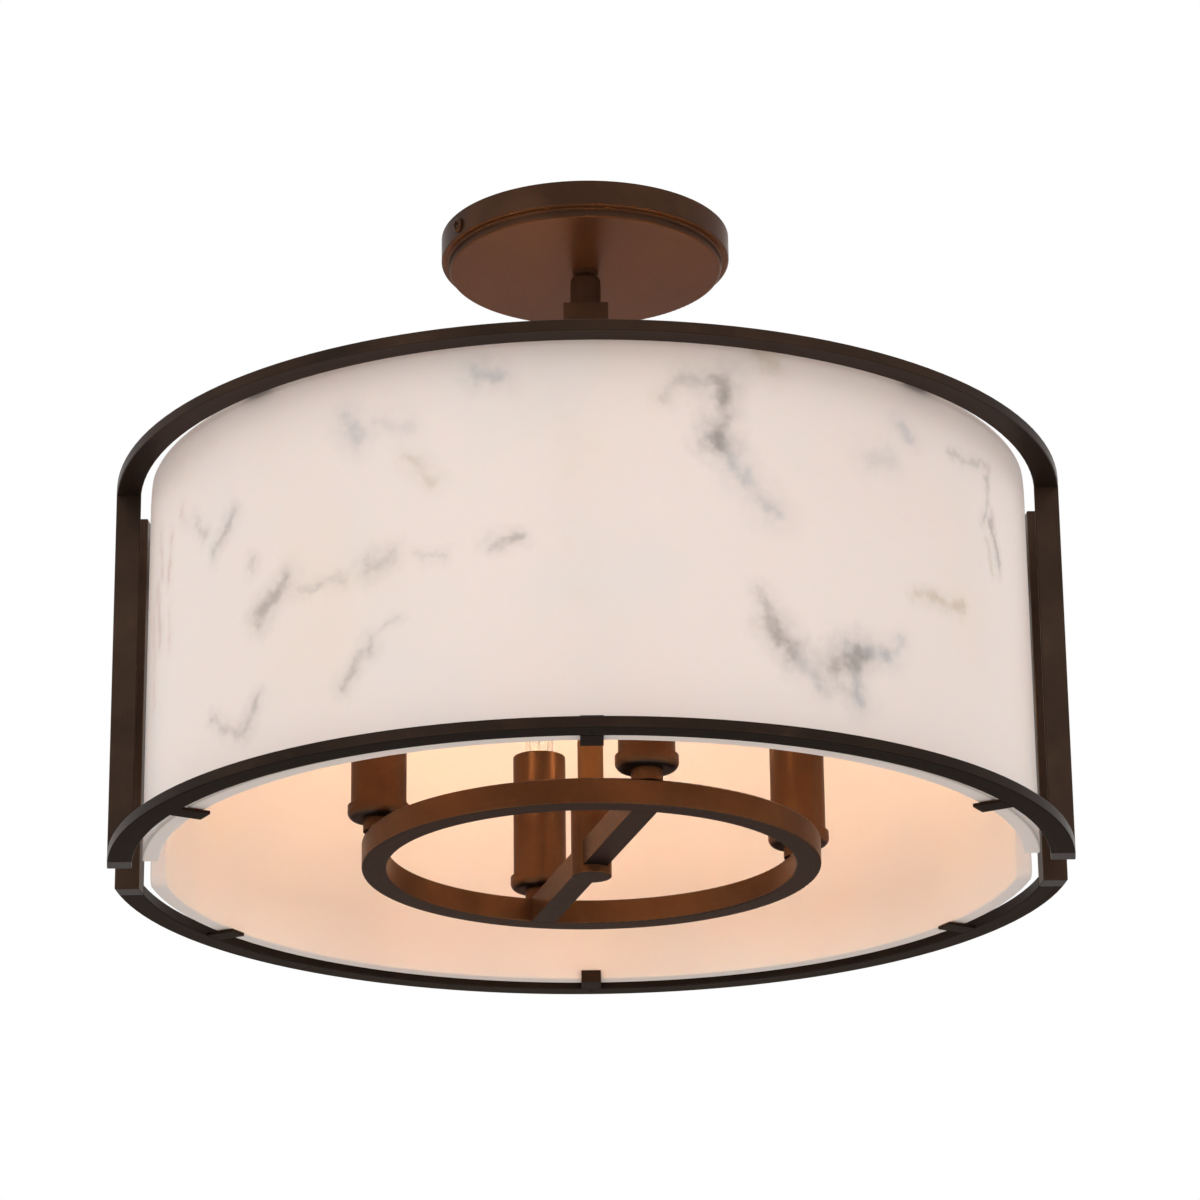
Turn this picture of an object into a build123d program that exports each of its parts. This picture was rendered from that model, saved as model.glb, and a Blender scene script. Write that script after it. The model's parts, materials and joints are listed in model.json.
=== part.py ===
from build123d import *
from math import cos, radians, sin
import os

# A four-light semi flush drum light. Millimetres, +Z up. The origin is the ceiling plane
# on the light's centre line, so everything hangs below z = 0. -Y is the front.

os.makedirs("parts", exist_ok=True)

# ---- fits and clearances
press_gap = 0.1  # between pieces of one body that slide together before they are fixed
seat_gap = 0.3  # between a loose piece and what it rests on
ball_gap = 0.05  # running clearance of the ball swivel, on the radius
sheet_edge = 0.5  # rounding along the edges of the frame's bar stock

# ---- ceiling bracket
box_screw_pitch = 79.4  # middle of the spacings that ceiling boxes have
box_slot_length = 14.4
box_slot_width = 4.8
bracket_thickness = 2.0
box_bar_length = 108.0
box_bar_width = 18.0
ear_bar_width = 14.0
ear_height = 8.0
ear_angle = 30.0  # round Z, where the canopy's side screws are
rivet_radius = 2.5
rivet_head_radius = 4.5
rivet_head_height = 1.5
ground_screw_place = 26.0
ground_screw_radius = 2.0
ground_screw_head_radius = 3.8
ground_screw_head_height = 2.2
ground_screw_length = 7.0

# ---- canopy
canopy_radius = 63.5
canopy_rim_height = 11.3
canopy_step_width = 3.5
canopy_step_height = 4.1
canopy_wall = 1.2
canopy_round = 0.9
side_screw_drop = 6.3
side_screw_radius = 1.8
side_screw_head_radius = 3.25
side_screw_head_height = 1.8
side_screw_length = 7.0

# ---- ball swivel
stud_radius = 4.85
stud_above_nut = 1.0
stud_collar_radius = 5.75
stud_collar_height = 1.9
stud_step_height = 0.2
stud_bore_radius = 1.2
stud_washer_radius = 9.0
stud_washer_height = 1.0
stud_nut_flats = 14.0
stud_nut_height = 4.0
swivel_gap = 0.8  # air between the stud's step and the housing
neck_radius = 2.3
ball_radius = 4.6
ball_drop = 6.7  # from the housing's top down to the ball's centre
race_thickness = 1.2
race_near_angle = 42.0  # the races' edges, as angles from the swivel's axis
race_far_angle = 82.0
housing_radius = 6.7
housing_height = 15.5
housing_round = 1.8
housing_mouth_radius = 3.5
plug_seat_drop = 3.0  # from the ball's centre down to the plug's rim
plug_bore_radius = 1.6
plug_spigot_radius = 4.0
plug_spigot_length = 8.0
plug_nut_flats = 11.0
plug_nut_height = 3.5

# ---- square stem and the cross on top of the frame
square_stem_side = 19.8
square_stem_wall = 1.5
square_stem_top = 3.0
square_stem_round = 0.8
hub_block_height = 10.0
cross_thickness = 2.0
cross_arm_width = 16.0
arm_screw_inset = 3.2  # from the frame's inner edge
arm_end_past_screw = 3.0
arm_screw_radius = 1.5
arm_screw_head_radius = 2.6
arm_screw_length = 5.0

# ---- frame: two half rings at the top, two at the bottom, four upright bars
frame_radius = 203.2
frame_width = 10.4
frame_top_drop = 123.8  # from the ceiling to the frame's upper face
frame_height = 167.7
ring_thickness = 4.7
side_gap = 31.0  # between the front and the back half frame
bar_depth = 10.4

# ---- shade: two half shells of cast resin
shade_play = 4.3  # air between the shade and the frame round it
shade_wall = 7.0
shade_side_gap = 34.0
shade_top_drop = 0.7  # below the frame's upper face
shade_upper_round = 24.0
shade_lower_round = 4.0
shade_edge_round = 0.8

# ---- tabs and clips that carry the shade
tab_thickness = 1.4
tab_width = 9.0
tab_past_shade = 2.0  # how far a tab's tip shows inside the shade
tab_angle = 30.0  # from the side of the frame
clip_lip_height = 5.5
clip_screw_inset = 3.8  # from the frame's inner edge
clip_foot_past_screw = 2.6
clip_screw_radius = 0.9
clip_screw_head_radius = 1.5

# ---- stem, hub and lamp ring
stem_radius = 5.5
stem_wall = 1.1
stem_above_nut = 1.3
stem_nut_flats = 14.0
stem_nut_height = 4.0
hub_radius = 8.55
hub_height = 33.0
hub_below_ring = 1.2
hub_bottom_round = 0.6
finial_height = 2.3
finial_spigot_length = 10.0
lamp_ring_radius = 96.9
lamp_ring_width = 10.5
lamp_ring_height = 10.7
lamp_ring_drop = 289.3  # from the ceiling to the ring's underside
lamp_ring_wall = 1.2
lamp_ring_round = 0.6
ring_cover_thickness = 1.0
cross_bar_width = 10.5
lamp_turn = 14.2  # the lamp ring's turn round Z from the frame's axes

# ---- candles
candle_count = 4
cup_stub_radius = 6.5
cup_stub_height = 5.2
cup_spigot_radius = 2.8
cup_spigot_length = 5.0
cup_bore_radius = 1.6
cup_floor_radius = 9.8
cup_floor_thickness = 2.0
cup_rim_radius = 13.0
cup_rim_height = 2.2
cup_height = 6.0
candle_radius = 11.65
candle_wall = 0.8
candle_height = 59.4
socket_radius = 8.6
socket_below_candle_top = 2.0
socket_body_height = 46.0
socket_post_radius = 3.4
socket_bore_radius = 6.6
socket_bore_depth = 22.0

# ---- bulbs: candle bulbs with a small screw base
bulb_base_radius = 5.95
bulb_base_height = 17.0
bulb_tip_radius = 2.2
bulb_tip_height = 2.6
bulb_thread_depth = 0.5
bulb_thread_pitch = 3.0
bulb_thread_turns = 4
glass_wall = 0.8
glass_neck_radius = 6.2
glass_neck_height = 10.0
glass_belly_radius = 16.0
glass_belly_height = 40.0
glass_height = 78.0
glass_tip_radius = 1.2
filament_mount_radius = 1.7
filament_mount_height = 14.0
filament_post_radius = 0.4
filament_post_spread = 3.2
filament_height = 34.0

# ---- wires
wire_radius = 0.9
ring_wire_radius = 1.2

# ---- heights worked out from the sizes above
canopy_face_z = -canopy_rim_height - canopy_step_height
canopy_floor_z = canopy_face_z + canopy_wall
stud_top_z = canopy_floor_z + stud_washer_height + stud_nut_height + stud_above_nut
stud_step_z = canopy_face_z - stud_collar_height
housing_top_z = stud_step_z - stud_step_height - swivel_gap
ball_z = housing_top_z - ball_drop
housing_bottom_z = housing_top_z - housing_height
frame_top_z = -frame_top_drop
frame_bottom_z = frame_top_z - frame_height
cross_top_z = frame_top_z + cross_thickness
shade_top_z = frame_top_z - shade_top_drop
tab_top_z = frame_bottom_z + tab_thickness
shade_bottom_z = tab_top_z + seat_gap
lamp_ring_bottom_z = -lamp_ring_drop
lamp_ring_top_z = lamp_ring_bottom_z + lamp_ring_height
hub_bottom_z = lamp_ring_bottom_z - hub_below_ring
cup_bottom_z = lamp_ring_top_z + cup_stub_height
cup_floor_z = cup_bottom_z + cup_floor_thickness
candle_top_z = cup_floor_z + candle_height
socket_top_z = candle_top_z - socket_below_candle_top
socket_bore_z = socket_top_z - socket_bore_depth
bulb_bottom_z = socket_bore_z + seat_gap
bulb_shell_z = bulb_bottom_z + bulb_tip_height
glass_bottom_z = bulb_shell_z + bulb_base_height

# ---- radii worked out from the sizes above
frame_inner = frame_radius - frame_width
arm_screw_circle = frame_inner + arm_screw_inset
cross_reach = arm_screw_circle + arm_end_past_screw
clip_screw_circle = frame_inner + clip_screw_inset
clip_foot_reach = clip_screw_circle + clip_foot_past_screw
shade_radius = frame_inner - shade_play
shade_inner = shade_radius - shade_wall
tab_tip_radius = shade_inner - tab_past_shade
lamp_ring_inner = lamp_ring_radius - lamp_ring_width
candle_circle = lamp_ring_radius - lamp_ring_width / 2
race_inner = ball_radius + ball_gap
race_outer = race_inner + race_thickness
housing_bore = race_outer + ball_gap
stem_bore = stem_radius - stem_wall
canopy_step_radius = canopy_radius - canopy_step_width
bulb_root_radius = bulb_base_radius - bulb_thread_depth
glass_neck_inner = glass_neck_radius - glass_wall
glass_belly_inner = glass_belly_radius - glass_wall


def upright(x=0.0, y=0.0):
    """The XZ plane through a point, for profiles that are turned round a vertical line."""
    return Plane(origin=(x, y, 0), x_dir=(1, 0, 0), z_dir=(0, -1, 0))


def spoke(angle, z=0.0):
    """A level plane whose x direction points outward at an angle round Z."""
    return Plane(origin=(0, 0, z), x_dir=(cos(radians(angle)), sin(radians(angle)), 0))


def radial_section(angle):
    """An upright plane through Z: x runs outward at the angle, y runs up."""
    return Plane(
        origin=(0, 0, 0),
        x_dir=(cos(radians(angle)), sin(radians(angle)), 0),
        z_dir=(sin(radians(angle)), -cos(radians(angle)), 0),
    )


def around(radius, angle):
    """The point at a radius and an angle round Z."""
    return radius * cos(radians(angle)), radius * sin(radians(angle))


# ================= ceiling bracket =================

with BuildPart() as box_bar:
    with BuildSketch():
        SlotOverall(box_bar_length, box_bar_width)
        with Locations((-box_screw_pitch / 2, 0), (box_screw_pitch / 2, 0)):
            SlotOverall(box_slot_length, box_slot_width, mode=Mode.SUBTRACT)
        Circle(rivet_radius + press_gap, mode=Mode.SUBTRACT)
        with Locations((-ground_screw_place, 0)):
            Circle(ground_screw_radius + press_gap, mode=Mode.SUBTRACT)
    extrude(amount=-bracket_thickness)
box_bar.part.label = "box_bar"
export_step(box_bar.part, "parts/box_bar.step")

ear_face = canopy_radius - canopy_wall - 2 * seat_gap
ear_inner_face = ear_face - bracket_thickness
ear_section = radial_section(ear_angle)
ear_bottom_z = -bracket_thickness - ear_height

with BuildPart() as ear_bar:
    with BuildSketch(ear_section):
        with BuildLine():
            Polyline(
                (-ear_face, -bracket_thickness),
                (ear_face, -bracket_thickness),
                (ear_face, ear_bottom_z),
                (ear_inner_face, ear_bottom_z),
                (ear_inner_face, -2 * bracket_thickness),
                (-ear_inner_face, -2 * bracket_thickness),
                (-ear_inner_face, ear_bottom_z),
                (-ear_face, ear_bottom_z),
                close=True,
            )
        make_face()
    extrude(amount=ear_bar_width / 2, both=True)
    with BuildSketch(spoke(ear_angle)):
        Circle(rivet_radius + press_gap)
    extrude(amount=-3 * bracket_thickness, mode=Mode.SUBTRACT)
    with BuildSketch(Plane(origin=(0, 0, -side_screw_drop), z_dir=ear_section.x_dir)):
        Circle(side_screw_radius + press_gap)
    extrude(amount=canopy_radius, both=True, mode=Mode.SUBTRACT)
ear_bar.part.label = "ear_bar"
export_step(ear_bar.part, "parts/ear_bar.step")

with BuildPart() as bar_rivet:
    with BuildSketch(Plane.XY.offset(-seat_gap)):
        Circle(rivet_radius)
    extrude(amount=seat_gap - 2 * bracket_thickness)
    with BuildSketch(Plane.XY.offset(-2 * bracket_thickness)):
        Circle(rivet_head_radius)
    extrude(amount=-rivet_head_height)
    fillet(bar_rivet.edges().group_by(Axis.Z)[0], rivet_head_height / 3)
bar_rivet.part.label = "bar_rivet"
export_step(bar_rivet.part, "parts/bar_rivet.step")

with BuildPart() as ground_screw:
    with BuildSketch(Plane(origin=(-ground_screw_place, 0, -seat_gap))):
        Circle(ground_screw_radius)
    extrude(amount=-ground_screw_length)
    with BuildSketch(Plane(origin=(-ground_screw_place, 0, -bracket_thickness))):
        RegularPolygon(ground_screw_head_radius, 6)
    extrude(amount=-ground_screw_head_height)
ground_screw.part.label = "ground_screw"
export_step(ground_screw.part, "parts/ground_screw.step")

# ================= canopy =================

with BuildPart() as canopy:
    with BuildSketch(upright()):
        with BuildLine():
            Polyline(
                (stud_radius + press_gap, canopy_face_z),
                (canopy_step_radius, canopy_face_z),
                (canopy_step_radius, -canopy_rim_height),
                (canopy_radius, -canopy_rim_height),
                (canopy_radius, 0),
                (canopy_radius - canopy_wall, 0),
                (canopy_radius - canopy_wall, canopy_wall - canopy_rim_height),
                (canopy_step_radius - canopy_wall, canopy_wall - canopy_rim_height),
                (canopy_step_radius - canopy_wall, canopy_floor_z),
                (stud_radius + press_gap, canopy_floor_z),
                close=True,
            )
        make_face()
    revolve(axis=Axis.Z)
    outer_corners = canopy.edges().filter_by(GeomType.CIRCLE).filter_by(
        lambda edge: edge.center().Z < -canopy_rim_height + canopy_wall / 2
        and edge.radius in (canopy_step_radius, canopy_radius)
    )
    fillet(outer_corners, canopy_round)
    with BuildSketch(Plane(origin=(0, 0, -side_screw_drop), z_dir=ear_section.x_dir)):
        Circle(side_screw_radius + press_gap)
    extrude(amount=canopy_radius, both=True, mode=Mode.SUBTRACT)
canopy.part.label = "canopy"
export_step(canopy.part, "parts/canopy.step")

with BuildPart() as canopy_screws:
    for side in (-1, 1):
        head_plane = Plane(
            origin=ear_section.x_dir * side * canopy_radius - Vector(0, 0, side_screw_drop),
            z_dir=ear_section.x_dir * side,
        )
        with BuildSketch(head_plane):
            Circle(side_screw_head_radius)
        extrude(amount=side_screw_head_height)
        with BuildSketch(head_plane):
            Circle(side_screw_radius)
        extrude(amount=-side_screw_length)
canopy_screws.part.label = "canopy_screws"
export_step(canopy_screws.part, "parts/canopy_screws.step")

# ================= ball swivel =================

with BuildPart() as ball_stud:
    with BuildSketch(upright()):
        with BuildLine():
            Polyline(
                (0, stud_top_z),
                (stud_radius, stud_top_z),
                (stud_radius, canopy_face_z),
                (stud_collar_radius, canopy_face_z),
                (stud_collar_radius, stud_step_z),
                (stud_radius, stud_step_z),
                (stud_radius, stud_step_z - stud_step_height),
                (neck_radius, stud_step_z - stud_step_height),
                (neck_radius, ball_z),
                (0, ball_z),
                close=True,
            )
        make_face()
    revolve(axis=Axis.Z)
    with Locations((0, 0, ball_z)):
        Sphere(ball_radius)
    with BuildSketch(Plane.XY.offset(stud_top_z)):
        Circle(stud_bore_radius)
    extrude(amount=ball_z - ball_radius - stud_top_z, mode=Mode.SUBTRACT)
ball_stud.part.label = "ball_stud"
export_step(ball_stud.part, "parts/ball_stud.step")

with BuildPart() as stud_washer:
    with BuildSketch(Plane.XY.offset(canopy_floor_z)):
        Circle(stud_washer_radius)
        Circle(stud_radius + press_gap, mode=Mode.SUBTRACT)
    extrude(amount=stud_washer_height)
stud_washer.part.label = "stud_washer"
export_step(stud_washer.part, "parts/stud_washer.step")

with BuildPart() as stud_nut:
    with BuildSketch(Plane.XY.offset(canopy_floor_z + stud_washer_height)):
        RegularPolygon(stud_nut_flats / 2, 6, major_radius=False)
        Circle(stud_radius + press_gap, mode=Mode.SUBTRACT)
    extrude(amount=stud_nut_height)
stud_nut.part.label = "stud_nut"
export_step(stud_nut.part, "parts/stud_nut.step")


def race_point(radius, angle):
    """A point of a race's profile, at an angle from the swivel's axis."""
    return radius * sin(radians(angle)), ball_z + radius * cos(radians(angle))


for race_name, race_angles in (
    ("upper_race", (race_near_angle, race_far_angle)),
    ("lower_race", (180 - race_near_angle, 180 - race_far_angle)),
):
    first_angle, last_angle = race_angles
    middle_angle = (first_angle + last_angle) / 2
    with BuildPart() as race:
        with BuildSketch(upright()):
            with BuildLine():
                ThreePointArc(
                    race_point(race_inner, first_angle),
                    race_point(race_inner, middle_angle),
                    race_point(race_inner, last_angle),
                )
                Line(race_point(race_inner, last_angle), race_point(race_outer, last_angle))
                ThreePointArc(
                    race_point(race_outer, last_angle),
                    race_point(race_outer, middle_angle),
                    race_point(race_outer, first_angle),
                )
                Line(race_point(race_outer, first_angle), race_point(race_inner, first_angle))
            make_face()
        revolve(axis=Axis.Z)
    race.part.label = race_name
    export_step(race.part, f"parts/{race_name}.step")

with BuildPart() as swivel_housing:
    with BuildSketch(Plane.XY.offset(housing_bottom_z)):
        Circle(housing_radius)
    extrude(amount=housing_height)
    fillet(swivel_housing.edges().group_by(Axis.Z)[-1], housing_round)
    with BuildSketch(Plane.XY.offset(housing_bottom_z)):
        Circle(housing_bore)
    extrude(amount=ball_z - housing_bottom_z, mode=Mode.SUBTRACT)
    with Locations((0, 0, ball_z)):
        Sphere(housing_bore, mode=Mode.SUBTRACT)
    with BuildSketch(Plane.XY.offset(ball_z)):
        Circle(housing_mouth_radius)
    extrude(amount=ball_drop, mode=Mode.SUBTRACT)
swivel_housing.part.label = "swivel_housing"
export_step(swivel_housing.part, "parts/swivel_housing.step")

with BuildPart() as swivel_plug:
    with BuildSketch(Plane.XY.offset(housing_bottom_z)):
        Circle(housing_bore - ball_gap)
    extrude(amount=ball_z - plug_seat_drop - housing_bottom_z)
    with BuildSketch(Plane.XY.offset(housing_bottom_z)):
        Circle(plug_spigot_radius)
    extrude(amount=-plug_spigot_length)
    with Locations((0, 0, ball_z)):
        Sphere(housing_bore, mode=Mode.SUBTRACT)
    with BuildSketch(Plane.XY.offset(ball_z)):
        Circle(plug_bore_radius)
    extrude(amount=housing_bottom_z - plug_spigot_length - ball_z, mode=Mode.SUBTRACT)
swivel_plug.part.label = "swivel_plug"
export_step(swivel_plug.part, "parts/swivel_plug.step")

with BuildPart() as plug_nut:
    with BuildSketch(Plane.XY.offset(housing_bottom_z - square_stem_top)):
        RegularPolygon(plug_nut_flats / 2, 6, major_radius=False)
        Circle(plug_spigot_radius + press_gap, mode=Mode.SUBTRACT)
    extrude(amount=-plug_nut_height)
plug_nut.part.label = "plug_nut"
export_step(plug_nut.part, "parts/plug_nut.step")

# ================= square stem and top cross =================

stem_inside = square_stem_side - 2 * square_stem_wall

with BuildPart() as square_stem:
    with BuildSketch(Plane.XY.offset(cross_top_z)):
        RectangleRounded(square_stem_side, square_stem_side, square_stem_round)
    extrude(amount=housing_bottom_z - cross_top_z)
    with BuildSketch(Plane.XY.offset(cross_top_z)):
        Rectangle(stem_inside, stem_inside)
    extrude(amount=housing_bottom_z - square_stem_top - cross_top_z, mode=Mode.SUBTRACT)
    with BuildSketch(Plane.XY.offset(housing_bottom_z)):
        Circle(plug_spigot_radius + press_gap)
    extrude(amount=-square_stem_top, mode=Mode.SUBTRACT)
square_stem.part.label = "square_stem"
export_step(square_stem.part, "parts/square_stem.step")

with BuildPart() as hub_block:
    with BuildSketch(Plane.XY.offset(cross_top_z)):
        Rectangle(stem_inside - 2 * press_gap, stem_inside - 2 * press_gap)
        Circle(stem_radius + press_gap, mode=Mode.SUBTRACT)
    extrude(amount=hub_block_height)
hub_block.part.label = "hub_block"
export_step(hub_block.part, "parts/hub_block.step")

stem_nut_z = cross_top_z + hub_block_height

with BuildPart() as stem_nut:
    with BuildSketch(Plane.XY.offset(stem_nut_z)):
        RegularPolygon(stem_nut_flats / 2, 6, major_radius=False)
        Circle(stem_radius + press_gap, mode=Mode.SUBTRACT)
    extrude(amount=stem_nut_height)
stem_nut.part.label = "stem_nut"
export_step(stem_nut.part, "parts/stem_nut.step")

arm_angles = (45, 135, 225, 315)

with BuildPart() as top_cross:
    for angle in arm_angles[:2]:
        with BuildSketch(spoke(angle, frame_top_z)):
            SlotOverall(2 * cross_reach, cross_arm_width)
        extrude(amount=cross_thickness)
    with BuildSketch(Plane.XY.offset(frame_top_z)):
        Circle(stem_radius + press_gap)
    extrude(amount=cross_thickness, mode=Mode.SUBTRACT)
    with Locations(Location((0, 0, cross_top_z))):
        with PolarLocations(arm_screw_circle, len(arm_angles), arm_angles[0]):
            CounterSinkHole(
                arm_screw_radius + press_gap,
                arm_screw_head_radius + press_gap,
                cross_thickness,
                90,
            )
top_cross.part.label = "top_cross"
export_step(top_cross.part, "parts/top_cross.step")

with BuildPart() as arm_screws:
    for angle in arm_angles:
        screw_x, screw_y = around(arm_screw_circle, angle)
        with BuildSketch(upright(screw_x, screw_y)):
            with BuildLine():
                Polyline(
                    (0, cross_top_z),
                    (arm_screw_head_radius, cross_top_z),
                    (arm_screw_radius, cross_top_z - arm_screw_head_radius + arm_screw_radius),
                    (arm_screw_radius, cross_top_z - arm_screw_length),
                    (0, cross_top_z - arm_screw_length),
                    close=True,
                )
            make_face()
        revolve(axis=Axis((screw_x, screw_y, 0), (0, 0, 1)))
arm_screws.part.label = "arm_screws"
export_step(arm_screws.part, "parts/arm_screws.step")

# ================= frame =================

arc_cut = side_gap / 2 + bar_depth
frame_ends = {"front": -1, "back": 1}


def half_ring_sketch(outer, inner, cut, side):
    """Half of a flat ring, cut off square at a distance from the X axis."""
    Circle(outer)
    Circle(inner, mode=Mode.SUBTRACT)
    with Locations((0, side * (cut + outer))):
        Rectangle(3 * outer, 2 * outer, mode=Mode.INTERSECT)


for end_name, side in frame_ends.items():
    with BuildPart() as top_arc:
        with BuildSketch(Plane.XY.offset(frame_top_z)):
            half_ring_sketch(frame_radius, frame_inner, arc_cut, side)
        extrude(amount=-ring_thickness)
        fillet(top_arc.edges(), sheet_edge)
        screw_places = [(*around(arm_screw_circle, side * angle), frame_top_z) for angle in arm_angles[:2]]
        with Locations(screw_places):
            Hole(arm_screw_radius + press_gap, arm_screw_length - cross_thickness + press_gap)
    top_arc.part.label = f"{end_name}_top_arc"
    export_step(top_arc.part, f"parts/{end_name}_top_arc.step")

    with BuildPart() as bottom_arc:
        with BuildSketch(Plane.XY.offset(frame_bottom_z)):
            half_ring_sketch(frame_radius, frame_inner, arc_cut, side)
        extrude(amount=ring_thickness)
        fillet(bottom_arc.edges(), sheet_edge)
        with Locations(Plane(origin=(0, side * clip_screw_circle, frame_bottom_z), z_dir=(0, 0, -1))):
            CounterSinkHole(
                clip_screw_radius + press_gap,
                clip_screw_head_radius + press_gap,
                ring_thickness,
                90,
            )
    bottom_arc.part.label = f"{end_name}_bottom_arc"
    export_step(bottom_arc.part, f"parts/{end_name}_bottom_arc.step")

    for hand_name, hand in (("left", -1), ("right", 1)):
        with BuildPart() as side_bar:
            with BuildSketch(Plane.XY.offset(frame_bottom_z)):
                Circle(frame_radius)
                Circle(frame_inner, mode=Mode.SUBTRACT)
                with Locations((hand * frame_radius, side * (side_gap + bar_depth) / 2)):
                    Rectangle(4 * frame_width, bar_depth, mode=Mode.INTERSECT)
            extrude(amount=frame_height)
            fillet(side_bar.edges(), sheet_edge)
        side_bar.part.label = f"{end_name}_{hand_name}_bar"
        export_step(side_bar.part, f"parts/{end_name}_{hand_name}_bar.step")

# ================= shade carriers =================

with BuildPart() as shade_tabs:
    for angle in (tab_angle, 180 - tab_angle, 180 + tab_angle, -tab_angle):
        with BuildSketch(spoke(angle, frame_bottom_z)):
            with Locations(((tab_tip_radius + frame_radius) / 2, 0)):
                Rectangle(frame_radius - tab_tip_radius, tab_width)
            Circle(frame_inner, mode=Mode.INTERSECT)
        extrude(amount=tab_thickness)
shade_tabs.part.label = "shade_tabs"
export_step(shade_tabs.part, "parts/shade_tabs.step")

lip_face = shade_inner - seat_gap
web_face = frame_inner - seat_gap
foot_z = frame_bottom_z + ring_thickness

with BuildPart() as shade_clips:
    for angle in (-90, 90):
        with BuildSketch(radial_section(angle)):
            with BuildLine():
                Polyline(
                    (clip_foot_reach, foot_z),
                    (clip_foot_reach, foot_z + tab_thickness),
                    (web_face - tab_thickness, foot_z + tab_thickness),
                    (web_face - tab_thickness, tab_top_z),
                    (lip_face, tab_top_z),
                    (lip_face, frame_bottom_z + clip_lip_height),
                    (lip_face - tab_thickness, frame_bottom_z + clip_lip_height),
                    (lip_face - tab_thickness, frame_bottom_z),
                    (web_face, frame_bottom_z),
                    (web_face, foot_z),
                    close=True,
                )
            make_face()
        extrude(amount=tab_width / 2, both=True)
    with BuildSketch(Plane.XY.offset(foot_z)):
        with Locations((0, -clip_screw_circle), (0, clip_screw_circle)):
            Circle(clip_screw_radius + press_gap)
    extrude(amount=tab_thickness, mode=Mode.SUBTRACT)
shade_clips.part.label = "shade_clips"
export_step(shade_clips.part, "parts/shade_clips.step")

clip_screw_top_z = foot_z + tab_thickness

with BuildPart() as clip_screws:
    for side in frame_ends.values():
        screw_y = side * clip_screw_circle
        with BuildSketch(upright(0, screw_y)):
            with BuildLine():
                Polyline(
                    (0, frame_bottom_z),
                    (clip_screw_head_radius, frame_bottom_z),
                    (clip_screw_radius, frame_bottom_z + clip_screw_head_radius - clip_screw_radius),
                    (clip_screw_radius, clip_screw_top_z),
                    (0, clip_screw_top_z),
                    close=True,
                )
            make_face()
        revolve(axis=Axis((0, screw_y, 0), (0, 0, 1)))
clip_screws.part.label = "clip_screws"
export_step(clip_screws.part, "parts/clip_screws.step")

# ================= shade =================

for end_name, side in frame_ends.items():
    cut_edge = side * shade_side_gap / 2
    far_edge = side * (shade_radius + shade_wall)
    with BuildPart() as half_shade:
        with BuildSketch(Plane.YZ):
            with BuildLine():
                shade_outline = FilletPolyline(
                    (far_edge, shade_bottom_z),
                    (cut_edge, shade_bottom_z),
                    (cut_edge, shade_top_z),
                    (far_edge, shade_top_z),
                    radius=[shade_lower_round, shade_upper_round],
                )
                Line(shade_outline @ 1, shade_outline @ 0)
            make_face()
        extrude(amount=shade_radius, both=True)
        with BuildSketch(Plane.XY.offset(shade_bottom_z)):
            Circle(shade_radius)
            Circle(shade_inner, mode=Mode.SUBTRACT)
        extrude(amount=shade_top_z - shade_bottom_z, mode=Mode.INTERSECT)
        fillet(half_shade.edges(), shade_edge_round)
    half_shade.part.label = f"{end_name}_shade"
    export_step(half_shade.part, f"parts/{end_name}_shade.step")

# ================= stem, hub and lamp ring =================

finial_top_z = hub_bottom_z
finial_bottom_z = hub_bottom_z - finial_height
stem_top_z = stem_nut_z + stem_nut_height + stem_above_nut
stem_bottom_z = hub_bottom_z

with BuildPart() as stem_tube:
    with BuildSketch(Plane.XY.offset(stem_bottom_z)):
        Circle(stem_radius)
        Circle(stem_bore, mode=Mode.SUBTRACT)
    extrude(amount=stem_top_z - stem_bottom_z)
stem_tube.part.label = "stem_tube"
export_step(stem_tube.part, "parts/stem_tube.step")

with BuildPart() as ring_hub:
    with BuildSketch(Plane.XY.offset(hub_bottom_z)):
        Circle(hub_radius)
        Circle(stem_radius + press_gap, mode=Mode.SUBTRACT)
    extrude(amount=hub_height)
    fillet(ring_hub.edges().group_by(Axis.Z)[-1].sort_by(SortBy.RADIUS)[-1], hub_bottom_round)
ring_hub.part.label = "ring_hub"
export_step(ring_hub.part, "parts/ring_hub.step")

with BuildPart() as finial:
    with BuildSketch(Plane.XY.offset(finial_bottom_z)):
        Circle(hub_radius)
    extrude(amount=finial_height)
    fillet(finial.edges().group_by(Axis.Z)[0], hub_bottom_round)
    with BuildSketch(Plane.XY.offset(finial_top_z)):
        Circle(stem_bore - press_gap)
    extrude(amount=finial_spigot_length)
finial.part.label = "finial"
export_step(finial.part, "parts/finial.step")

with BuildPart() as cross_bars:
    for angle in (lamp_turn - 90, lamp_turn + 90):
        with BuildSketch(spoke(angle, lamp_ring_bottom_z)):
            with Locations((lamp_ring_radius / 2, 0)):
                Rectangle(lamp_ring_radius, cross_bar_width)
            Circle(lamp_ring_inner, mode=Mode.INTERSECT)
            Circle(hub_radius, mode=Mode.SUBTRACT)
        extrude(amount=lamp_ring_height)
cross_bars.part.label = "cross_bars"
export_step(cross_bars.part, "parts/cross_bars.step")

channel_outer = lamp_ring_radius - lamp_ring_wall
channel_inner = lamp_ring_inner + lamp_ring_wall

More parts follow.
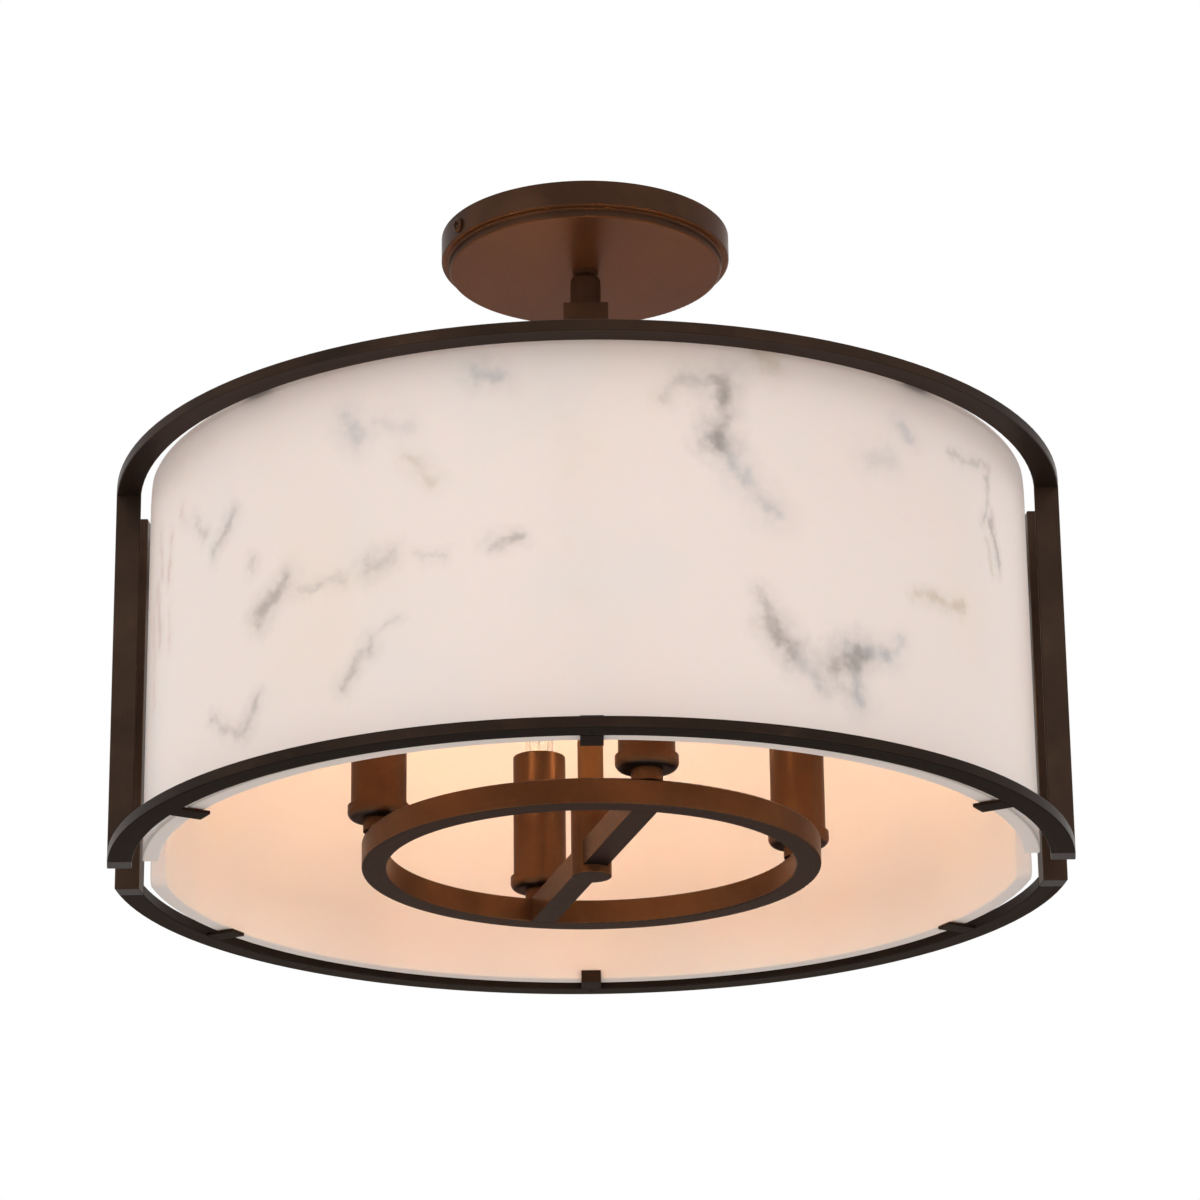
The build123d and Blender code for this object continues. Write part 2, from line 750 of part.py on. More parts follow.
with BuildPart() as lamp_ring:
    with BuildSketch(Plane.XY.offset(lamp_ring_bottom_z)):
        Circle(lamp_ring_radius)
        Circle(lamp_ring_inner, mode=Mode.SUBTRACT)
    extrude(amount=lamp_ring_height)
    fillet(lamp_ring.edges().filter_by(GeomType.CIRCLE), lamp_ring_round)
    with BuildSketch(Plane.XY.offset(lamp_ring_bottom_z + lamp_ring_wall)):
        Circle(channel_outer)
        Circle(channel_inner, mode=Mode.SUBTRACT)
    extrude(amount=lamp_ring_height - lamp_ring_wall, mode=Mode.SUBTRACT)
lamp_ring.part.label = "lamp_ring"
export_step(lamp_ring.part, "parts/lamp_ring.step")

candle_angles = [lamp_turn + 360 / candle_count * step for step in range(candle_count)]
candle_places = [around(candle_circle, angle) for angle in candle_angles]

with BuildPart() as ring_cover:
    with BuildSketch(Plane.XY.offset(lamp_ring_top_z)):
        Circle(channel_outer - press_gap)
        Circle(channel_inner + press_gap, mode=Mode.SUBTRACT)
        with Locations(candle_places):
            Circle(cup_spigot_radius + press_gap, mode=Mode.SUBTRACT)
    extrude(amount=-ring_cover_thickness)
ring_cover.part.label = "ring_cover"
export_step(ring_cover.part, "parts/ring_cover.step")

# ================= candles =================

with BuildPart() as candle_cups:
    for place in candle_places:
        with BuildSketch(upright(*place)):
            with BuildLine():
                Polyline(
                    (cup_bore_radius, lamp_ring_top_z - cup_spigot_length),
                    (cup_spigot_radius, lamp_ring_top_z - cup_spigot_length),
                    (cup_spigot_radius, lamp_ring_top_z),
                    (cup_stub_radius, lamp_ring_top_z),
                    (cup_stub_radius, cup_bottom_z),
                    (cup_floor_radius, cup_bottom_z),
                )
                bowl = TangentArc(
                    (cup_floor_radius, cup_bottom_z),
                    (cup_rim_radius, cup_bottom_z + cup_height - cup_rim_height),
                    tangent=(1, 0),
                )
                Polyline(
                    bowl @ 1,
                    (cup_rim_radius, cup_bottom_z + cup_height),
                    (candle_radius + press_gap, cup_bottom_z + cup_height),
                    (candle_radius + press_gap, cup_floor_z),
                    (cup_bore_radius, cup_floor_z),
                    (cup_bore_radius, lamp_ring_top_z - cup_spigot_length),
                )
            make_face()
        revolve(axis=Axis((*place, 0), (0, 0, 1)))
candle_cups.part.label = "candle_cups"
export_step(candle_cups.part, "parts/candle_cups.step")

for number, place in enumerate(candle_places, start=1):
    with BuildPart() as candle_sleeve:
        with BuildSketch(Plane(origin=(*place, cup_floor_z))):
            Circle(candle_radius)
            Circle(candle_radius - candle_wall, mode=Mode.SUBTRACT)
        extrude(amount=candle_height)
        fillet(candle_sleeve.edges().group_by(Axis.Z)[-1].sort_by(SortBy.RADIUS)[-1], candle_wall / 2)
    candle_sleeve.part.label = f"candle_sleeve_{number}"
    export_step(candle_sleeve.part, f"parts/candle_sleeve_{number}.step")

    with BuildPart() as socket:
        with BuildSketch(upright(*place)):
            with BuildLine():
                Polyline(
                    (cup_bore_radius, cup_floor_z),
                    (socket_post_radius, cup_floor_z),
                    (socket_post_radius, socket_top_z - socket_body_height),
                    (socket_radius, socket_top_z - socket_body_height),
                    (socket_radius, socket_top_z),
                    (socket_bore_radius, socket_top_z),
                    (socket_bore_radius, socket_bore_z),
                    (cup_bore_radius, socket_bore_z),
                    close=True,
                )
            make_face()
        revolve(axis=Axis((*place, 0), (0, 0, 1)))
        with BuildSketch(Plane(origin=(*place, socket_bore_z))):
            Circle(socket_post_radius)
        extrude(amount=-(socket_bore_z - socket_top_z + socket_body_height) / 2)
    socket.part.label = f"socket_{number}"
    export_step(socket.part, f"parts/socket_{number}.step")

    thread_length = bulb_thread_turns * bulb_thread_pitch
    thread_start_z = bulb_shell_z + (bulb_base_height - thread_length) / 2
    with BuildPart() as bulb_base:
        with BuildSketch(upright(*place)):
            with BuildLine():
                Polyline(
                    (0, bulb_bottom_z),
                    (bulb_tip_radius, bulb_bottom_z),
                    (bulb_root_radius, bulb_shell_z),
                    (bulb_root_radius, thread_start_z),
                )
                for turn in range(bulb_thread_turns):
                    turn_z = thread_start_z + turn * bulb_thread_pitch
                    ThreePointArc(
                        (bulb_root_radius, turn_z),
                        (bulb_base_radius, turn_z + bulb_thread_pitch / 2),
                        (bulb_root_radius, turn_z + bulb_thread_pitch),
                    )
                Polyline(
                    (bulb_root_radius, thread_start_z + thread_length),
                    (bulb_root_radius, glass_bottom_z),
                    (0, glass_bottom_z),
                    (0, bulb_bottom_z),
                )
            make_face()
        revolve(axis=Axis((*place, 0), (0, 0, 1)))
    bulb_base.part.label = f"bulb_base_{number}"
    export_step(bulb_base.part, f"parts/bulb_base_{number}.step")

    belly_z = glass_bottom_z + glass_belly_height
    glass_top_z = glass_bottom_z + glass_height
    neck_z = glass_bottom_z + glass_neck_height
    with BuildPart() as bulb_glass:
        with BuildSketch(upright(*place)):
            with BuildLine():
                Line((glass_neck_inner, glass_bottom_z), (glass_neck_radius, glass_bottom_z))
                Line((glass_neck_radius, glass_bottom_z), (glass_neck_radius, neck_z))
                Spline(
                    (glass_neck_radius, neck_z),
                    (glass_belly_radius, belly_z),
                    tangents=[(0, 1), (0, 1)],
                )
                Spline(
                    (glass_belly_radius, belly_z),
                    (glass_tip_radius, glass_top_z),
                    tangents=[(0, 1), (-1, 1)],
                )
                Line((glass_tip_radius, glass_top_z), (0, glass_top_z))
                Line((0, glass_top_z), (0, glass_top_z - 2 * glass_wall))
                Spline(
                    (0, glass_top_z - 2 * glass_wall),
                    (glass_belly_inner, belly_z),
                    tangents=[(1, -1), (0, -1)],
                )
                Spline(
                    (glass_belly_inner, belly_z),
                    (glass_neck_inner, neck_z),
                    tangents=[(0, -1), (0, -1)],
                )
                Line((glass_neck_inner, neck_z), (glass_neck_inner, glass_bottom_z))
            make_face()
        revolve(axis=Axis((*place, 0), (0, 0, 1)))
    bulb_glass.part.label = f"bulb_glass_{number}"
    export_step(bulb_glass.part, f"parts/bulb_glass_{number}.step")

    mount_top_z = glass_bottom_z + filament_mount_height
    filament_top_z = glass_bottom_z + filament_height
    with BuildPart() as filament:
        with BuildSketch(Plane(origin=(*place, glass_bottom_z))):
            Circle(filament_mount_radius)
        extrude(amount=filament_mount_height)
        for post_side in (-1, 1):
            post_start = (place[0], place[1], mount_top_z - filament_mount_radius)
            post_end = (place[0] + post_side * filament_post_spread, place[1], filament_top_z)
            with BuildLine():
                post_line = Line(post_start, post_end)
            with BuildSketch(Plane(origin=post_line @ 0, z_dir=post_line % 0)):
                Circle(filament_post_radius)
            sweep(path=post_line)
        with BuildSketch(Plane(origin=(*place, filament_top_z), z_dir=(1, 0, 0))):
            Circle(filament_post_radius)
        extrude(amount=filament_post_spread, both=True)
    filament.part.label = f"filament_{number}"
    export_step(filament.part, f"parts/filament_{number}.step")

# ================= wires =================

wire_offset = stem_bore - wire_radius - seat_gap

with BuildPart() as wires:
    with BuildSketch(Plane.XY.offset(finial_top_z + finial_spigot_length + seat_gap)):
        with Locations((-wire_offset, 0), (wire_offset, 0)):
            Circle(wire_radius)
    extrude(amount=stem_top_z - finial_top_z - finial_spigot_length)
    with BuildSketch(upright()):
        with Locations((candle_circle, lamp_ring_bottom_z + lamp_ring_wall + ring_wire_radius + seat_gap)):
            Circle(ring_wire_radius)
    revolve(axis=Axis.Z)
wires.part.label = "wires"
export_step(wires.part, "parts/wires.step")
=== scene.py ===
import json
import math

import bmesh
import bpy
from mathutils import Matrix, Vector


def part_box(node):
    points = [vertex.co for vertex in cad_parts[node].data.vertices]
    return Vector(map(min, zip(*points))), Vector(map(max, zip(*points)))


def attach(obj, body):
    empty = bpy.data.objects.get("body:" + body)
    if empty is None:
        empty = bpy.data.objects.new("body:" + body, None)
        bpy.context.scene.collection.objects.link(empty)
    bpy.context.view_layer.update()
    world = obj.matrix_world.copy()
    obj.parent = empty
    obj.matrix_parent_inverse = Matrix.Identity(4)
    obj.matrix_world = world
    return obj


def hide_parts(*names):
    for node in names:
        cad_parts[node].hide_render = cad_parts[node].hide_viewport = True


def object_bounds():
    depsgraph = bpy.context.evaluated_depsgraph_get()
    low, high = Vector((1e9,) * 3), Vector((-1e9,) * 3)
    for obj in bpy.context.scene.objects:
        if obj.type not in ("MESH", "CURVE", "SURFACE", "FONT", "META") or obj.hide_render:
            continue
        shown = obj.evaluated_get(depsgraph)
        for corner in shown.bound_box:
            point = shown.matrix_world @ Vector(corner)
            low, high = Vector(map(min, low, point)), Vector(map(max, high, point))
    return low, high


# A four-lamp semi flush drum light, dressed for rendering. Metres, ceiling at z = 0.
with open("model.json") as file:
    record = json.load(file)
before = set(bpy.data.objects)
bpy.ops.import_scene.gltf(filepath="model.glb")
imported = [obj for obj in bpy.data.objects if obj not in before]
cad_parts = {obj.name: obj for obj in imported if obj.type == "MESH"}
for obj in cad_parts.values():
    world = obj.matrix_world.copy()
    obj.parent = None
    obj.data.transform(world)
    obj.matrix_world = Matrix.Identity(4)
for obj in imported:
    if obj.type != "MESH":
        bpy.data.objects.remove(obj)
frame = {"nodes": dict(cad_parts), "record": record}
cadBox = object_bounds()
print("frame loaded:", len(frame["nodes"]), "pieces")


# shader helpers

class Field:
    # a value over a surface: arithmetic on it adds Math nodes
    def __init__(self, finish, socket):
        self.finish = finish
        self.socket = socket

    def join(self, operation, first, second):
        return self.finish.add("ShaderNodeMath", {"operation": operation}, {0: first, 1: second})

    def __add__(self, other):
        return self.join("ADD", self, other)

    def __radd__(self, other):
        return self.join("ADD", other, self)

    def __sub__(self, other):
        return self.join("SUBTRACT", self, other)

    def __rsub__(self, other):
        return self.join("SUBTRACT", other, self)

    def __mul__(self, other):
        return self.join("MULTIPLY", self, other)

    def __rmul__(self, other):
        return self.join("MULTIPLY", other, self)


class Finish:
    # the nodes of one material, or of the world, while they are being made
    def __init__(self, owner):
        self.owner = owner
        owner.use_nodes = True
        self.tree = owner.node_tree
        self.tree.nodes.clear()

    def add(self, kind, settings, sockets, output=0):
        # settings first, then values or links of the sockets; returns one output
        node = self.tree.nodes.new(kind)
        for name, value in settings.items():
            setattr(node, name, value)
        for name, value in sockets.items():
            if isinstance(value, Field):
                self.tree.links.new(value.socket, node.inputs[name])
            else:
                node.inputs[name].default_value = value
        return None if output is None else Field(self, node.outputs[output])

    def vector(self, operation, first, second, output=0):
        return self.add("ShaderNodeVectorMath", {"operation": operation}, {0: first, 1: second}, output)

    def split(self, vector):
        return [self.add("ShaderNodeSeparateXYZ", {}, {0: vector}, axis) for axis in range(3)]

    def noise(self, vector, scale, detail=2.0, roughness=0.5, output=0):
        sockets = {"Vector": vector, "Scale": scale, "Detail": detail, "Roughness": roughness}
        return self.add("ShaderNodeTexNoise", {}, sockets, output)

    def blend(self, first, second, factor):
        # colours are mixed, never put through Math nodes
        sockets = {0: factor, 6: self.colour(first), 7: self.colour(second)}
        return self.add("ShaderNodeMix", {"data_type": "RGBA"}, sockets, 2)

    def colour(self, value):
        return value if isinstance(value, Field) else (*value, 1.0)

    def ramp(self, value, low, high, start=0.0, end=1.0):
        # smooth step of a value from low to high
        sockets = {0: value, 1: low, 2: high, 3: start, 4: end}
        return self.add("ShaderNodeMapRange", {"interpolation_type": "SMOOTHSTEP"}, sockets)

    def bump(self, height, strength, distance):
        sockets = {"Height": height, "Strength": strength, "Distance": distance}
        return self.add("ShaderNodeBump", {}, sockets)

    def surface(self, sockets):
        shader = self.add("ShaderNodeBsdfPrincipled", {}, sockets)
        self.add("ShaderNodeOutputMaterial", {}, {0: shader}, None)
        return self.owner


def newFinish(name):
    # a new material that starts from the place on the piece, in metres
    made = Finish(bpy.data.materials.new(name))
    made.place = made.add("ShaderNodeTexCoord", {}, {}, "Object")
    return made


# metals

bronzeLook = {
    # dark, warm and rubbed tones, and a painted shade and reflection tone for faces that look down
    "frame": ((0.022, 0.013, 0.0094), (0.039, 0.022, 0.0142), (0.1, 0.048, 0.025), (0.036, 0.022, 0.015)),
    # painted shade: a darker copy for the lower arcs, tabs and clips
    "lower": ((0.017, 0.0105, 0.0078), (0.03, 0.0175, 0.0115), (0.09, 0.044, 0.024), (0.013, 0.013, 0.013)),
    # painted reflection: a lighter, greyer copy for the bars
    "bar": ((0.034, 0.0205, 0.0145), (0.057, 0.034, 0.023), (0.115, 0.06, 0.033), (0.02, 0.015, 0.013)),
    # painted warm glow: a warmer copy for the canopy, swivel and square stem
    "canopy": ((0.04, 0.019, 0.011), (0.068, 0.031, 0.016), (0.125, 0.052, 0.024), (0.106, 0.045, 0.018)),
    # painted lamp light: brighter, warmer copies for the pieces among the bulbs, the stem tube brightest
    "lamp": ((0.084, 0.036, 0.0152), (0.138, 0.058, 0.023), (0.22, 0.088, 0.035), (0.028, 0.025, 0.024)),
    "tube": ((0.125, 0.054, 0.0205), (0.198, 0.083, 0.029), (0.28, 0.11, 0.04), (0.08, 0.04, 0.024)),
    # how much more metallic the faces that look down are, by tone
    "underMetallic": {"frame": 0.0, "lower": 0.41, "bar": 0.0, "canopy": 0.0, "lamp": 0.37, "tube": 0.0},
    "metallic": 0.5,
    "edgeTint": (0.40, 0.35, 0.30),
    "specular": 0.18,
    "roughness": 0.35,
    # brush lines: their scale, how they are drawn out round or up a piece, and how much they show
    "grainScale": 900.0,
    "grainAround": 0.004,
    "grainUpward": (0.03, 0.2),
    "grainTone": 0.20,
    "grainRoughness": 0.14,
    "grainStrength": 0.35,
    "grainDepth": 0.00004,
    "cloudScale": 22.0,
    "cloudRange": (0.3, 0.7),
    "cloudRoughness": 0.08,
    "wearScale": 55.0,
    "wearRange": (0.52, 0.72),
    "wearTone": 0.12,
    # downward faces take the painted tone: painted shade and reflection, a painted warm glow on the canopy
    "underRange": (-0.55, -0.90),  # upward part of a face's direction
    "paintedUnderShare": 0.85,
}


def bronzeFinish(name, tones, upright):
    # dark rubbed bronze: the brush lines run along the piece
    made = newFinish(name)
    look = bronzeLook
    dark, warm, rubbed, paintedUnderTone = look[tones]
    x, y, z = made.split(made.place)
    angle = made.add("ShaderNodeMath", {"operation": "ARCTAN2"}, {0: y, 1: x})
    radius = made.add("ShaderNodeMath", {"operation": "SQRT"}, {0: x * x + y * y})
    if upright:
        rise, turn = look["grainUpward"]
        along = made.add("ShaderNodeCombineXYZ", {}, {0: z * rise, 1: angle * turn, 2: radius})
    else:
        along = made.add("ShaderNodeCombineXYZ", {}, {0: angle * look["grainAround"], 1: z, 2: radius})
    grain = made.noise(along, look["grainScale"], 3.0, 0.6)
    cloud = made.noise(made.place, look["cloudScale"], 4.0, 0.55)
    wear = made.ramp(made.noise(made.place, look["wearScale"], 5.0, 0.65), *look["wearRange"])
    tone = made.blend(dark, warm, made.ramp(cloud, *look["cloudRange"]))
    tone = made.blend(tone, rubbed, wear * look["wearTone"] + (grain - 0.5) * look["grainTone"])
    # painted shade, reflection and warm glow on faces that look down, by the object's own upright direction
    facing = made.split(made.add("ShaderNodeTexCoord", {}, {}, "Normal"))[2]
    paintedUnderMask = made.ramp(facing, *look["underRange"])
    tone = made.blend(tone, paintedUnderTone, paintedUnderMask * look["paintedUnderShare"])
    rough = look["roughness"] + (cloud - 0.5) * look["cloudRoughness"]
    return made.surface({
        "Base Color": tone,
        "Metallic": look["metallic"] + paintedUnderMask * look["underMetallic"][tones],
        "Roughness": rough + (grain - 0.5) * look["grainRoughness"],
        "Specular IOR Level": look["specular"],
        "Specular Tint": (*look["edgeTint"], 1.0),
        "Normal": made.bump(grain, look["grainStrength"], look["grainDepth"]),
    })


platedLook = {
    # bright and dull tone, and how many patches a metre
    "bracket": ((0.56, 0.57, 0.58), (0.36, 0.37, 0.39), 160.0),
    "bulbBrass": ((0.72, 0.66, 0.52), (0.42, 0.36, 0.25), 420.0),
    "metallic": 0.95,
    "roughness": 0.26,
    "patchTone": 0.45,
    "patchRoughness": 0.16,
    "scratchScale": (40.0, 900.0, 900.0),
    "scratchTone": 0.4,
    "scratchRoughness": 0.08,
    "scratchDepth": 0.00003,
}


def platedFinish(name, metal):
    # plated sheet with cloudy patches and fine drawn scratches
    made = newFinish(name)
    look = platedLook
    bright, dull, patchScale = look[metal]
    patches = made.add("ShaderNodeTexVoronoi", {}, {"Vector": made.place, "Scale": patchScale}, "Color")
    patch = made.split(patches)[0]
    scratch = made.noise(made.vector("MULTIPLY", made.place, look["scratchScale"]), 1.0, 4.0, 0.6)
    worn = patch * look["patchTone"] + made.ramp(scratch, 0.45, 0.8) * look["scratchTone"]
    rough = look["roughness"] + patch * look["patchRoughness"]
    return made.surface({
        "Base Color": made.blend(bright, dull, worn),
        "Metallic": look["metallic"],
        "Roughness": rough + scratch * look["scratchRoughness"],
        "Normal": made.bump(scratch, 0.25, look["scratchDepth"]),
    })


greenLook = {
    "coat": (0.035, 0.22, 0.075),
    "chipped": (0.30, 0.32, 0.28),
    "chipScale": 900.0,
    "chipDepth": 0.00005,
    "metallic": 0.25,
    "chipMetallic": 0.6,
    "roughness": 0.38,
    "chipRoughness": 0.1,
}


def groundGreenFinish():
    # green paint, chipped to bare metal in small spots
    made = newFinish("ground_green")
    look = greenLook
    chips = made.ramp(made.noise(made.place, look["chipScale"], 5.0, 0.7), 0.60, 0.66)
    return made.surface({
        "Base Color": made.blend(look["coat"], look["chipped"], chips),
        "Metallic": look["metallic"] + chips * look["chipMetallic"],
        "Roughness": look["roughness"] + chips * look["chipRoughness"],
        "Normal": made.bump(1.0 - chips, 0.3, look["chipDepth"]),
    })


# mouldings, wire jacket, lamp parts

mouldedLook = {
    # light and dark tone, roughness, and scale of the flow marks
    "nylon": ((0.78, 0.75, 0.68), (0.70, 0.66, 0.57), 0.42, 300.0),
    "phenolic": ((0.052, 0.046, 0.042), (0.028, 0.025, 0.024), 0.34, 180.0),
    "jacket": ((0.62, 0.56, 0.46), (0.50, 0.44, 0.35), 0.46, 220.0),
    "skinScale": 4200.0,
    "skinRoughness": 0.16,
    "skinDepth": 0.00003,
}


def mouldedFinish(name, plastic):
    # moulded plastic: faint flow marks and a fine eroded skin
    made = newFinish(name)
    look = mouldedLook
    light, dark, roughness, flowScale = look[plastic]
    flow = made.noise(made.place, flowScale, 4.0, 0.6)
    skin = made.noise(made.place, look["skinScale"], 2.0, 0.5)
    return made.surface({
        "Base Color": made.blend(dark, light, made.ramp(flow, 0.32, 0.68)),
        "Roughness": roughness + (skin - 0.5) * look["skinRoughness"],
        "Normal": made.bump(skin, 0.22, look["skinDepth"]),
    })


glassLook = {
    "tint": (0.985, 0.975, 0.955),
    "hazeTint": (0.94, 0.92, 0.88),
    "hazeScale": 90.0,
    "hazeRoughness": 0.02,
    "roughness": 0.015,
    "rippleStretch": (1.0, 1.0, 0.25),
    "rippleScale": 260.0,
    "rippleDepth": 0.0002,
    "ior": 1.46,
}


def bulbGlassFinish():
    # clear blown glass, rippled along its length and hazed in places
    made = newFinish("bulb_glass")
    look = glassLook
    drawn = made.vector("MULTIPLY", made.place, look["rippleStretch"])
    ripple = made.noise(drawn, look["rippleScale"], 2.0, 0.4)
    haze = made.ramp(made.noise(made.place, look["hazeScale"], 4.0, 0.6), 0.50, 0.80)
    return made.surface({
        "Base Color": made.blend(look["tint"], look["hazeTint"], haze),
        "Roughness": look["roughness"] + haze * look["hazeRoughness"],
        "Transmission Weight": 1.0,
        "IOR": look["ior"],
        "Normal": made.bump(ripple, 0.12, look["rippleDepth"]),
    })


glassStemLook = {
    "clear": (0.97, 0.95, 0.90),
    "amber": (0.86, 0.80, 0.70),
    "dimGlow": (0.55, 0.34, 0.14),
    "glow": (1.0, 0.86, 0.62),
    "glowStrength": 0.75,
    "transmission": 0.75,
    "roughness": 0.06,
    "swirlRoughness": 0.05,
    "swirlScale": (700.0, 700.0, 160.0),
    "swirlDepth": 0.0003,
}


def glassStemFinish():
    # the pressed stem inside a bulb, lit through by the wire above it
    made = newFinish("glass_stem")
    look = glassStemLook
    swirl = made.noise(made.vector("MULTIPLY", made.place, look["swirlScale"]), 1.0, 3.0, 0.6)
    return made.surface({
        "Base Color": made.blend(look["clear"], look["amber"], swirl),
        "Roughness": look["roughness"] + swirl * look["swirlRoughness"],
        "Transmission Weight": look["transmission"],
        "IOR": glassLook["ior"],
        "Emission Color": made.blend(look["dimGlow"], look["glow"], made.ramp(swirl, 0.35, 0.7)),
        "Emission Strength": look["glowStrength"],
        "Normal": made.bump(swirl, 0.3, look["swirlDepth"]),
    })


wireLook = {
    "cool": (1.0, 0.56, 0.20),
    "hot": (1.0, 0.86, 0.55),
    "strength": 9.0,
    "darkMetal": (0.5, 0.3, 0.15),
    "paleMetal": (0.8, 0.6, 0.4),
    "metallic": 0.6,
    "roughness": 0.4,
    "heatScale": 700.0,
    "heatRoughness": 0.1,
}


def filamentFinish():
    # a glowing wire, hotter in places
    made = newFinish("filament_wire")
    look = wireLook
    heat = made.noise(made.place, look["heatScale"], 2.0, 0.5)
    glow = made.blend(look["cool"], look["hot"], made.ramp(heat, 0.3, 0.6))
    return made.surface({
        "Base Color": made.blend(look["darkMetal"], look["paleMetal"], heat),
        "Roughness": look["roughness"] + heat * look["heatRoughness"],
        "Metallic": look["metallic"],
        "Emission Color": glow,
        "Emission Strength": look["strength"],
    })


# cast resin shades, alabaster look

shadeLook = {
    "pale": (0.880, 0.770, 0.710),
    "cream": (0.860, 0.710, 0.590),
    "cool": (0.810, 0.755, 0.715),
    "blush": (0.885, 0.710, 0.625),
    "vein": (0.330, 0.275, 0.245),
    "slate": (0.400, 0.390, 0.400),
    "umber": (0.500, 0.370, 0.240),
    "rust": (0.560, 0.340, 0.260),
    # painted shade: the tone of the band just under the upper ring
    "paintedShoulderShade": (0.640, 0.460, 0.330),
    # clouds of the cast: ink, shift of the pattern, scale, detail, where it starts and ends, share
    "clouds": [
        ("cream", (0.0, 0.0, 0.0), 9.0, 3.0, 0.50, 0.78, 0.55),
        ("cool", (3.1, 1.7, 0.4), 13.0, 3.0, 0.48, 0.75, 0.60),
        ("blush", (7.3, 4.2, 2.2), 7.0, 2.0, 0.52, 0.80, 0.45),
    ],
    "radius": 0.1885,
    "top": -0.1245,
    # how far the veins wander and fray, in metres
    "drift": 0.012,
    "driftScale": 85.0,
    "fray": 0.0026,
    "frayScale": 260.0,
    # reach of a vein's core and haze, in metres for each mm of its width, and their shares
    "coreReach": 0.0010,
    "coreShare": 0.52,
    "hazeReach": 0.0026,
    "hazeShare": 0.36,
    "veinDepth": 0.003,
    "gritScale": 130.0,
    # painted shade: a darker, browner band just under the upper ring
    "shoulderStart": 0.016,
    "shoulderEnd": 0.003,
    "paintedShoulderShare": 0.07,
    "subsurface": 0.35,
    "subsurfaceDepth": 0.004,
    "subsurfaceColour": (1.0, 0.62, 0.42),
    "specular": 0.35,
    "roughness": 0.40,
    "polishScale": 60.0,
    "polishRoughness": 0.12,
    "polishDepth": 0.0004,
}

# veins on a half shade: start angle, height, end angle, height, width, strength (degrees, mm)
greyVeins = [
    (-59, -166, -56, -178, 3.2, 0.45),
    (-49.6, -174, -53.6, -187, 3.6, 0.60),
    (-45.9, -197, -46.2, -202, 3.0, 0.45),
    (-39.6, -210, -44.6, -223, 5.0, 0.75),
    (-37.7, -216, -30.6, -216, 2.6, 0.38),
    (-27.4, -214, -24.2, -210, 4.4, 0.60),
    (-21.1, -212, -17.4, -213, 2.4, 0.35),
    (-12.0, -210, -8.1, -208, 3.2, 0.62),
    (-23.4, -236, -26.9, -243, 2.6, 0.30),
    (-26.9, -243, -30.9, -261, 3.6, 0.55),
    (-44.4, -258, -47.1, -268, 3.8, 0.60),
    (-53.3, -258, -48.2, -269, 3.4, 0.48),
    (9.2, -150, 10.7, -143, 3.6, 0.34),
    (10.7, -143, 14.6, -142, 4.0, 0.48),
    (14.6, -142, 16.8, -144, 5.0, 0.80),
    (16.3, -144, 15.8, -167, 6.4, 0.95),
    (13.8, -169, 15.6, -172, 4.6, 0.60),
    (51.3, -149, 61.3, -144, 2.2, 0.42),
    (61.3, -144, 59.6, -169, 2.6, 0.50),
    (61.5, -167, 63.7, -186, 2.8, 0.72),
    (20.7, -229, 22.1, -241, 4.0, 0.55),
    (22.1, -241, 24.4, -252, 5.2, 0.90),
    (29.9, -257, 34.3, -247, 6.0, 0.85),
]
slateVeins = [
    (-30.8, -149, -28.9, -158, 6.0, 0.55),
    (-26.1, -154, -22.9, -157, 6.0, 0.30),
    (-13.0, -139, -10.7, -141, 5.0, 0.62),
    (16.3, -168, 18.8, -182, 6.0, 0.70),
    (18.8, -182, 22.4, -195, 6.4, 0.55),
    (41.7, -145, 43.2, -149, 4.6, 0.45),
    (36.2, -163, 40.0, -162, 6.0, 0.34),
    (25.1, -253, 28.6, -264, 5.4, 0.45),
    (31.7, -246, 38.4, -246, 5.6, 0.80),
    (32.9, -253, 33.6, -266, 5.6, 0.75),
    (38.4, -246, 40.9, -237, 3.4, 0.42),
]
umberVeins = [
    (-21.9, -171, -18.9, -182, 4.4, 0.42),
    (43.8, -216, 52.6, -214, 3.4, 0.55),
    (20.7, -127, 22.6, -132, 6.0, 0.45),
    (60.0, -178, 61.5, -190, 2.0, 0.40),
    (-3.0, -150, -1.0, -232, 12.0, 0.06),
    (-70.5, -140, -55.0, -140, 9.0, 0.10),
]
rustVeins = [
    (-71.5, -160, -71.0, -178, 4.0, 0.42),
    (-66.6, -166, -67.2, -184, 3.0, 0.60),
    (-72.5, -182, -70.8, -206, 4.4, 0.45),
    (-67.0, -196, -66.4, -214, 3.4, 0.34),
    (-74.5, -190, -73.5, -232, 4.0, 0.30),
    (-63.0, -158, -62.0, -166, 3.0, 0.34),
]


def paintVeins(made, point, veins):
    # strongest of a set of soft strokes on the unrolled shade
    strongest = None
    arc = math.radians(1.0) * shadeLook["radius"]  # length of one degree on the shade
    for startAngle, startZ, endAngle, endZ, width, strength in veins:
        start = Vector((startAngle * arc, startZ * 0.001, 0.0))
        run = Vector((endAngle * arc, endZ * 0.001, 0.0)) - start
        offset = made.vector("SUBTRACT", point, start)
        share = made.vector("DOT_PRODUCT", offset, run / run.length_squared, 1)
        share = made.add("ShaderNodeClamp", {}, {0: share})
        nearest = made.add("ShaderNodeVectorMath", {"operation": "SCALE"}, {0: run, "Scale": share})
        away = made.vector("DISTANCE", offset, nearest, 1)
        core = made.ramp(away, width * shadeLook["coreReach"], 0.0, 0.0, strength * shadeLook["coreShare"])
        haze = made.ramp(away, width * shadeLook["hazeReach"], 0.0, 0.0, strength * shadeLook["hazeShare"])
        stroke = core + haze
        strongest = stroke if strongest is None else stroke.join("MAXIMUM", strongest, stroke)
    return strongest


def wander(made, reach, scale, detail, roughness):
    # a sideways shift that carries the veins off their straight lines
    noise = made.noise(made.place, scale, detail, roughness, 1)
    centred = made.vector("SUBTRACT", noise, (0.5, 0.5, 0.5))
    return made.vector("MULTIPLY", centred, (reach, reach, 0.0))


